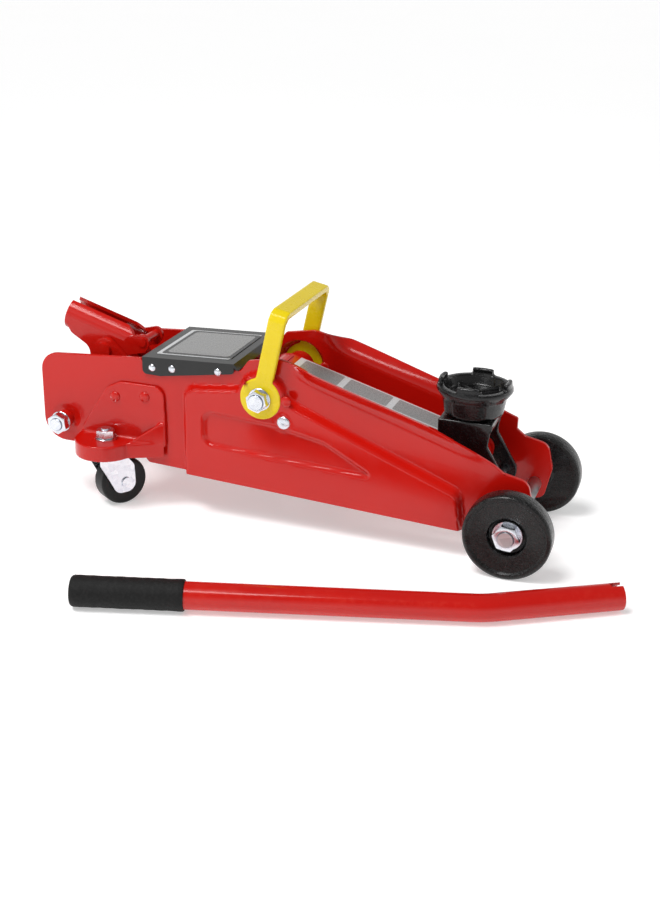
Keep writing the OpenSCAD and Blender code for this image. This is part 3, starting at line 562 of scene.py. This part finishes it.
def build_plate(border, side):
    """A plate's outer and inner skin, joined round the rim."""
    def build(work):
        points, faces = plate_skin(border)
        heights = pressed_height(np.array([(p.x, p.y) for p in points]))
        outer = []
        inner = []
        for p, height in zip(points, heights):
            outer.append(work.verts.new(at(p.x, side * (PLATE_BASE + height), p.y)))
            inner.append(work.verts.new(at(p.x, side * (PLATE_IN + height), p.y)))
        for face in faces:
            work.faces.new([outer[i] for i in face])
            work.faces.new([inner[i] for i in reversed(face)])
        rim = [edge for edge in work.edges if edge.is_boundary]
        pair = dict(zip(outer, inner))
        for edge in rim:
            a, b = edge.verts
            if a in pair and b in pair:
                work.faces.new((a, b, pair[b], pair[a]))
    return build


for side_name, side in SIDES.items():
    plate = new_piece(
        f"pressed_plate_{side_name}", build_plate(PLATE_OUTLINES[side_name], side),
        "frame", red_paint, [f"side_plate_{side_name}"], smooth_angle=50
    )
    bevel(plate, 0.9, 3, 60)


# ---------------------------------------------------------------- caster brackets

for side_name, side in SIDES.items():
    remeshed(
        f"formed_bracket_{side_name}", f"caster_bracket_{side_name}", "frame", red_paint,
        voxel=0.7, passes=9
    )


# ---------------------------------------------------------------- nuts, bolts and rivets

SHELF_TOP = 60
SHELF_T = 3
BLOCK_BOLTS = [(-154, 95.5), (-126.5, 98.5)]
COVER_SCREWS = [(-119, 125), (-101, 126), (-60, 128.5)]


def outward(side):
    return Vector((0, side, 0))


def from_middle_both(node):
    """How far a two-sided node's parts start and end from the middle plane, in millimetres."""
    reach = [abs(v.co.y - JACK.y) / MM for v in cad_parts[node].data.vertices]
    return min(reach), max(reach)


def build_side_nuts(node, place, flats, bore, washer_size, turned):
    """A washer and a nut on each side of the jack; washer_size is its radius and thickness."""
    def build(work):
        start, end = from_middle_both(node)
        radius, thick = washer_size
        for side in SIDES.values():
            out = outward(side)
            face = at(place[0], side * start, place[1])
            washer(work, bore, radius, thick, face, out)
            nut(work, flats, end - start - thick, bore, face + out * thick * MM, out, turned)
    return build


def build_king_nuts(work):
    """The bearing race under each caster bracket's shelf, and the nut and washer on top of it."""
    up = Vector((0, 0, 1))
    x = spot("caster_king_bolts").x
    y = sum(from_middle_both("caster_king_bolts")) / 2
    base = low("caster_king_nuts").z / MM
    shelf = SHELF_TOP - SHELF_T
    bore = 4.1
    thick = 1.6
    for side in SIDES.values():
        lathe(work, [
            (bore, base), (10.5, base), (11, base + 0.5), (11, base + 3.3), (10.4, base + 4),
            (8.5, base + 4.2), (8.5, shelf), (bore, shelf), (bore, base)
        ], at(x, side * y, 0), up)
        washer(work, bore, 9, thick, at(x, side * y, SHELF_TOP), up)
        nut(work, 14, 7, bore, at(x, side * y, SHELF_TOP + thick), up, 0.3)


def build_rivet_heads(work):
    x, z = spot("plate_rivets")
    for side in SIDES.values():
        dome(work, 4.5, 1.9, at(x, side * PLATE_OUT, z), outward(side))
        dome(work, 4.5, 1.6, at(x, side * PLATE_IN, z), -outward(side))


def build_stud_heads(work):
    x, z = spot("link_studs")
    inner = from_middle_both("link_studs")[0]
    for side in SIDES.values():
        dome(work, 5.5, 1.9, at(x, side * PLATE_OUT, z), outward(side))
        lathe(work, [
            (0, inner), (5.6, inner), (6, inner + 0.4), (6, PLATE_IN), (0, PLATE_IN)
        ], at(x, 0, z), outward(side), 32)


def build_bolt_heads(work):
    outer = from_middle_both("power_unit_bolts")[1]
    for side in SIDES.values():
        for x, z in BLOCK_BOLTS:
            dome(work, 4.5, 2.2, at(x, side * (outer - 2), z), outward(side))


def build_screw_heads(work):
    outer = from_middle_both("cover_screws")[1]
    for side in SIDES.values():
        for x, z in COVER_SCREWS:
            dome(work, 3.2, 1.7, at(x, side * (outer - 1.5), z), outward(side))


for node_name, nuts in {
    "hub_nuts": build_side_nuts("hub_nuts", AXLE, 19, 6.1, (12, 1.6), 0.4),
    "pivot_nuts": build_side_nuts("pivot_nuts", (PIVOT.x, PIVOT.z), 16, 6.1, (9.5, 1.6), 0.2),
    "tie_rod_nuts": build_side_nuts("tie_rod_nuts", TIE_ROD, 16, 5.1, (9, 1.5), 0.1),
}.items():
    new_piece(f"{node_name}_chamfered", nuts, "frame", zinc, [node_name], 30)
new_piece("king_nuts_chamfered", build_king_nuts, "frame", zinc, ["caster_king_nuts"], 30)
new_piece("rivets_domed", build_rivet_heads, "frame", red_paint, ["plate_rivets"])
new_piece("block_bolts_domed", build_bolt_heads, "frame", red_paint, ["power_unit_bolts"])
new_piece("link_studs_domed", build_stud_heads, "frame", zinc, ["link_studs"])
new_piece("cover_screws_domed", build_screw_heads, "frame", zinc, ["cover_screws"])


# ---------------------------------------------------------------- blank labels

def film(work, outline, thickness, turn):
    """A thin flat film from an outline in millimetres, laid in the plane that turn gives."""
    lower = [work.verts.new(turn @ (Vector((p.x, p.y, 0)) * MM)) for p in outline]
    upper = [work.verts.new(turn @ (Vector((p.x, p.y, thickness)) * MM)) for p in outline]
    work.faces.new(list(reversed(lower)))
    work.faces.new(upper)
    for k in range(len(outline)):
        after = (k + 1) % len(outline)
        work.faces.new((lower[k], lower[after], upper[after], upper[k]))


def panel(x0, x1, half_width, radius):
    """A rounded rectangle about the middle line."""
    y0, y1 = -half_width, half_width
    return rounded([(x0, y0, radius), (x1, y0, radius), (x1, y1, radius), (x0, y1, radius)])


def top_plane(node, lift=0.0):
    """The plane of a node's upper face, raised by lift, and its length.

    The plane's origin is at the low-X end of the middle line, and its X runs along the slope.
    """
    upper = [v.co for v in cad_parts[node].data.vertices]
    start = max((v for v in upper if v.x < middle(node).x), key=lambda v: v.z)
    end = max((v for v in upper if v.x > middle(node).x), key=lambda v: v.z)
    along = Vector((end.x - start.x, 0, end.z - start.z)).normalized()
    across = Vector((0, 1, 0))
    normal = along.cross(across)
    origin = Vector((start.x, JACK.y, start.z)) + normal * lift * MM
    turn = Matrix.Translation(origin) @ Matrix((along, across, normal)).transposed().to_4x4()
    return turn, (end - start).length / MM


FILM_T = 0.12


def build_cover_print(work):
    film(work, panel(1.6, 64.4, 34.2, 3), FILM_T, top_plane("cover_label")[0])


def build_cover_inset(work):
    turn = top_plane("cover_label", FILM_T)[0]
    film(work, panel(5, 61, 30.5, 4), FILM_T / 2, turn)
    film(work, panel(9, 57, 26.5, 4), FILM_T, turn)


def build_arm_print(work):
    turn, length = top_plane("arm_label")
    for start, end in ((0.04, 0.30), (0.34, 0.62), (0.66, 0.96)):
        film(work, panel(length * start, length * end, 11.5, 1.5), FILM_T, turn)


new_piece("cover_label_border", build_cover_print, "frame", dark_film)
new_piece("cover_label_blank", build_cover_inset, "frame", grey_film)
new_piece("arm_label_blanks", build_arm_print, "lift_arm", grey_film)


# ---------------------------------------------------------------- castings and soft edges

remeshed("saddle_cast", "saddle", "saddle", black_saddle, 0.7, 5)
remeshed("saddle_bracket_cast", "saddle_bracket", "saddle_bracket", black_saddle, 0.8, 6)
remeshed("carry_handle_coated", "carry_handle", "carry_handle", yellow_paint, 0.8, 8)


# ---------------------------------------------------------------- front wheels

def wheel_profile(radius, width):
    """Half section of a cast wheel from its inner to its outer hub seat, as (radius, height out)."""
    bore = 6.2
    inner_face = [
        (bore, 0), (11, 0), (13, 2), (radius - 7, 2), (radius - 4.5, 0.2), (radius - 2.5, 0),
        (radius - 0.8, 0.8)
    ]
    tread = [(radius, 2.6), (radius, width - 3.0), (radius - 0.5, width - 1.2)]
    rim_bead = [
        (radius - 1.8, width - 0.2), (radius - 3.2, width), (radius - 4.4, width - 0.5),
        (radius - 5.2, width - 1.9), (radius - 6.2, width - 2.4)
    ]
    hub_seat = [
        (17, width - 2.1), (15.6, width - 3), (14.6, width - 7.4), (13.8, width - 8), (bore, width - 8)
    ]
    return inner_face + tread + rim_bead + hub_seat + [(bore, 0)]


WHEEL_INNER, WHEEL_OUTER = from_middle("front_wheel_left")
WHEEL_RADIUS = (high("front_wheel_left").z - low("front_wheel_left").z) / 2 / MM


def build_wheel(side):
    def build(work):
        lathe(
            work, wheel_profile(WHEEL_RADIUS, WHEEL_OUTER - WHEEL_INNER),
            at(AXLE.x, side * WHEEL_INNER, AXLE.y), outward(side), 128
        )
    return build


for side_name, side in SIDES.items():
    wheel_name = f"front_wheel_{side_name}"
    new_piece(
        f"cast_wheel_{side_name}", build_wheel(side), wheel_name, wheel_black, [wheel_name], 40
    )


# ---------------------------------------------------------------- grip of the loose handle

# where the grip's closed end lies, which way the handle points, and how far ahead the tip rests
HANDLE_START = (-99, -229)
HANDLE_TURN = math.radians(16.4)
TIP_AHEAD = 404
TUBE_RADIUS = 10.5
GRIP_RADIUS = 12
GRIP_LENGTH = 84


def build_grip(work):
    """A moulded sleeve with a closed rounded end, slight waviness and a thicker lip at its mouth."""
    tilt = math.atan((GRIP_RADIUS - TUBE_RADIUS) / (TIP_AHEAD - GRIP_LENGTH))
    lift = GRIP_RADIUS * math.cos(tilt) + GRIP_LENGTH * math.sin(tilt)
    level = math.cos(tilt)
    axis = Vector((math.cos(HANDLE_TURN) * level, math.sin(HANDLE_TURN) * level, -math.sin(tilt)))
    profile = [(0, 0), (8.6, 0), (10.4, 0.4), (11.3, 1.3), (11.8, 2.8)]
    steps = 24
    for k in range(steps + 1):
        wave = 0.10 * math.sin(k * 1.9) + 0.05 * math.sin(k * 0.7)
        profile.append((GRIP_RADIUS - 0.22 + wave, 4.5 + (GRIP_LENGTH - 12) * k / steps))
    profile += [
        (GRIP_RADIUS - 0.1, GRIP_LENGTH - 5.5), (GRIP_RADIUS, GRIP_LENGTH - 4),
        (GRIP_RADIUS, GRIP_LENGTH - 1), (GRIP_RADIUS - 0.5, GRIP_LENGTH - 0.1),
        (TUBE_RADIUS + 0.1, GRIP_LENGTH), (TUBE_RADIUS + 0.1, 3), (0, 3)
    ]
    lathe(work, profile, at(HANDLE_START[0], HANDLE_START[1], lift), axis, 64)


new_piece("grip_moulded", build_grip, "loose_handle", rubber, ["handle_grip"], 50)


# ---------------------------------------------------------------- floor, light and camera

def lay_floor():
    """A wide pale floor that glows a little, so that it stays even into the distance."""
    shade = Shade("pale floor", Roughness=0.7, Emission_Color=(1, 1, 1, 1), Emission_Strength=0.4)
    shade.colour(shade.mix(shade.noise(1.5, 2), (0.78, 0.78, 0.78, 1), (0.80, 0.80, 0.80, 1)))
    mesh = bpy.data.meshes.new("floor")
    reach = 30
    corners = [(-reach, -reach, 0), (reach, -reach, 0), (reach, reach, 0), (-reach, reach, 0)]
    mesh.from_pydata(corners, [], [(0, 1, 2, 3)])
    floor = bpy.data.objects.new("floor", mesh)
    floor.data.materials.append(shade.material)
    bpy.context.scene.collection.objects.link(floor)


def area_light(name, place, target, size, power):
    """A rectangular softbox that faces a target."""
    light = bpy.data.lights.new(name, "AREA")
    light.shape = "RECTANGLE"
    light.size, light.size_y = size
    light.energy = power
    lamp = bpy.data.objects.new(name, light)
    lamp.location = place
    lamp.rotation_euler = (Vector(target) - Vector(place)).to_track_quat("-Z", "Y").to_euler()
    bpy.context.scene.collection.objects.link(lamp)


def sun(name, toward, strength, angle):
    """An even, soft light from a direction; toward points from the object to the light."""
    light = bpy.data.lights.new(name, "SUN")
    light.energy = strength
    light.angle = math.radians(angle)
    lamp = bpy.data.objects.new(name, light)
    lamp.rotation_euler = Vector(toward).to_track_quat("Z", "Y").to_euler()
    bpy.context.scene.collection.objects.link(lamp)


def studio_light():
    """A surround that is bright at the horizon and dimmer overhead, a soft sun and three softboxes."""
    world = bpy.data.worlds.new("studio")
    bpy.context.scene.world = world
    world.use_nodes = True
    links = world.node_tree.links
    nodes = world.node_tree.nodes
    direction = nodes.new("ShaderNodeTexCoord")
    parts = nodes.new("ShaderNodeSeparateXYZ")
    fade = nodes.new("ShaderNodeMapRange")
    for name, value in {"From Min": 0.02, "From Max": 0.5, "To Min": 0.95, "To Max": 0.2}.items():
        fade.inputs[name].default_value = value
    links.new(direction.outputs["Generated"], parts.inputs[0])
    links.new(parts.outputs["Z"], fade.inputs["Value"])
    links.new(fade.outputs["Result"], nodes["Background"].inputs["Strength"])
    nodes["Background"].inputs["Color"].default_value = (1, 1, 1, 1)
    sun("ceiling", (-0.28, -0.3, 0.9), 1.7, 20)
    area_light("overhead", (-0.35, -0.6, 1.2), (0, 0, 0), (1.2, 0.22), 6)
    area_light("key", (-0.9, -1.5, 1.2), (0, 0, 0.08), (0.8, 0.8), 1.5)
    area_light("rim", (1.3, 0.9, 0.9), (0, 0, 0.08), (0.7, 0.7), 3)


def camera():
    """The camera at the photograph's viewing angle, in the jack's own coordinates."""
    azimuth = math.radians(18.70)
    elevation = math.radians(22.07)
    roll = math.radians(1.12)
    level = math.cos(elevation)
    back = Vector((math.sin(azimuth) * level, -math.cos(azimuth) * level, math.sin(elevation)))
    right = Vector((math.cos(azimuth), math.sin(azimuth), 0))
    up = back.cross(right)
    axis_x = right * math.cos(roll) + up * math.sin(roll)
    axis_y = up * math.cos(roll) - right * math.sin(roll)
    data = bpy.data.cameras.new("camera")
    data.lens = 52.68
    data.sensor_width = 36
    data.sensor_fit = "AUTO"
    data.clip_end = 100
    eye = bpy.data.objects.new("camera", data)
    turn = Matrix((axis_x, axis_y, back)).transposed().to_4x4()
    eye.matrix_world = Matrix.Translation(at(352.7, -977.6, 473.6)) @ turn
    bpy.context.scene.collection.objects.link(eye)
    bpy.context.scene.camera = eye
    bpy.context.scene.view_settings.view_transform = "Standard"


lay_floor()
studio_light()
camera()
